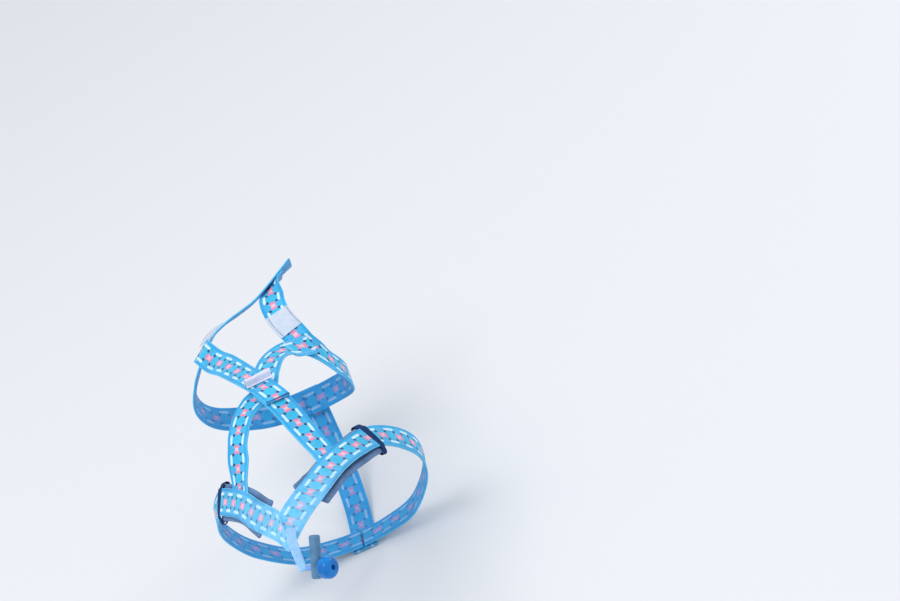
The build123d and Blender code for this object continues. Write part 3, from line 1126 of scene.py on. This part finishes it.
# %% A row of stitches
def stitch_row(first, last, pitch, width=0.55, reach=None):
    """Stitches from one flat point to another, along the row or with this reach to each side of it."""
    first, last = np.array(first, float), np.array(last, float)
    way = last - first
    length = np.linalg.norm(way)
    count = max(2, round(length / pitch))
    row = added("row", bpy.ops.mesh.primitive_uv_sphere_add, segments=6, ring_count=4, radius=1)
    edit(row)
    size = (reach, width / 2, 0.32) if reach else (width / 2, 0.78 * pitch / 2, 0.32)
    bpy.ops.transform.resize(value=[part * MM for part in size])
    done()
    apply(
        row, "ARRAY", count=count, use_relative_offset=False, use_constant_offset=True,
        constant_offset_displace=(0, length / count * MM, 0),
    )
    flat = points_of(row)
    ahead = way / length
    aside, up = np.array([ahead[1], -ahead[0], 0]), (0, 0, 1)
    spot = flat[:, 1] + length / count / 2
    move_points(row, first + np.outer(spot, ahead) + np.outer(flat[:, 0], aside) + np.outer(flat[:, 2], up))
    return row


# %% Boxes, and laying the rows
top = webbing_thickness + 0.05


def box_rows(x, low, high):
    """A sewn box with its two diagonals."""
    corners = [(-x, low, top), (x, low, top), (x, high, top), (-x, high, top)]
    pairs = [(0, 1), (1, 2), (2, 3), (3, 0), (0, 2), (1, 3)]
    return [stitch_row(corners[a], corners[b], pitch=2.6) for a, b in pairs]


def sewn(name, run, rows, thread, slot="webbing", lift=None):
    """Joins the rows into one piece and lays it on the run."""
    only(*rows)
    if len(rows) > 1:
        bpy.ops.object.join()
    rows[0].name = rows[0].data.name = name
    lay(rows[0], run, lift)
    keep(rows[0], slot, cloths[thread])


# %% Stitches along the liners and the patches
for side in ("right", "left"):
    run = runs["hip_strap_" + side]
    first, last = run.distance_at(pad_start) + 3, run.distance_at(5.72)
    rows = [stitch_row((x, first, top), (x, last, top), pitch=3.2) for x in (-11.4, 11.4)]
    sewn(f"hip_strap_{side}_stitches", run, rows, "blue_thread")
    run = runs["collar_" + side]
    first, last = (run.distance_at(row) for row in patch_rows[side])
    z, half = layer + 0.85, patch_widths[side] / 2
    ends = [((x, first + 1, z), (x, last - 1, z)) for x in (1.8 - half, half - 3.0)]
    rows = [stitch_row(*pair, pitch=1.7, width=0.6, reach=0.9) for pair in ends]
    loose = off_the_strap(side, run)
    sewn(f"reflective_patch_{side}_stitches", run, rows, "grey_thread", "reflective", loose)

# %% Stitches at the junctions and the crossing
run = runs["back_strap_over_front"]
bar = run.length - 1.3
sewn("right_junction_stitches", runs["back_strap_under"], box_rows(10.2, 2.5, 25.0), "white_thread")
sewn("left_junction_stitches", run, box_rows(10.2, 2.5, 22.0), "white_thread")
sewn("collar_tip_stitches", runs["collar_left"], box_rows(9.8, 2.5, 20.0), "blue_thread")
# Its dark navy is a bar tack that also stands for the painted shadow under the front layer's end.
bar_row = stitch_row((-12.2, bar, top), (12.2, bar, top), pitch=0.75, width=0.63, reach=1.25)
sewn("crossing_bar_and_shadow", run, [bar_row], "navy_thread_and_shadow")

# %% Stitches at the tail and underneath
run, from_seam, seam_ends = runs["hip_strap_right"], 1.6 - seam_lap, []
for distance in (10.0, 27.0):
    spots = np.stack([np.linspace(-12, 12, 97), np.full(97, distance), np.full(97, top)], 1)
    off = (run.laid(spots) - np.array(seam_point)) @ np.array(seam_normal)
    seam_ends.append(tuple(spots[np.argmin(np.abs(off - from_seam))]))
sewn("tail_seam_stitches", run, [stitch_row(*seam_ends, pitch=2.4)], "blue_thread")
at_strip = (3.0, 5.0, tail_run.length - 5.0, tail_run.length - 3.0)
rows = [stitch_row((-3.2, y, 4.5), (3.2, y, 4.5), pitch=1.8, width=0.4) for y in at_strip]
sewn("tail_strip_stitches", tail_run, rows, "white_thread", "tail_webbing")
run = runs["breast_strap"]
sewn("chest_stitches", run, box_rows(9.8, 3.0, 20.0), "blue_thread")
sewn("belly_stitches", run, box_rows(9.8, run.length - 24.0, run.length - 3.0), "blue_thread")

# %% [markdown]
# ## Floor and light
#
# A plain pale floor keeps the harness's shadow. One large soft lamp comes from the upper left, a small one
# on the other side gives the bead its highlight, and the world fills in from all round. All are weak
# enough that a shade renders about as it is written.

# %% The floor
floor_paint, tree, shader = material("floor_paint", 0.9)
speckle = noise(tree, on_piece(tree), 900.0)
put(tree, shader["Base Color"], mix(tree, speckle, shade(221, 222, 224), shade(229, 230, 232)))
floor_place = (0, 0, solids_box[0].z - 0.6 * MM)
floor = added("floor", bpy.ops.mesh.primitive_plane_add, size=30, location=floor_place)
floor.data.materials.append(floor_paint)
print("the floor lies at", round(floor.location.z, 4), "m")


# %% The light
def add_lamp(name, place, aimed_at, size, energy):
    lamp = added(name, bpy.ops.object.light_add, type="AREA", location=place)
    lamp.data.shape = "DISK"
    lamp.data.size, lamp.data.energy = size, energy
    lamp.rotation_euler = (Vector(aimed_at) - lamp.location).to_track_quat("-Z", "Y").to_euler()
    print(name, "is", round(lamp.location.length, 2), "m away")


add_lamp("soft_lamp", (-0.7, -1.0, 2.5), (0, -0.03, -0.05), size=1.6, energy=31)
add_lamp("small_lamp", (2.1, 0.9, 0.75), (0, -0.1, -0.05), size=0.5, energy=8)
world = bpy.data.worlds.new("studio")
bpy.context.scene.world = world
world.use_nodes = True
background = world.node_tree.nodes["Background"].inputs
background["Color"].default_value = (0.92, 0.95, 1.0, 1)
background["Strength"].default_value = 0.88
bpy.context.scene.view_settings.view_transform = "Standard"
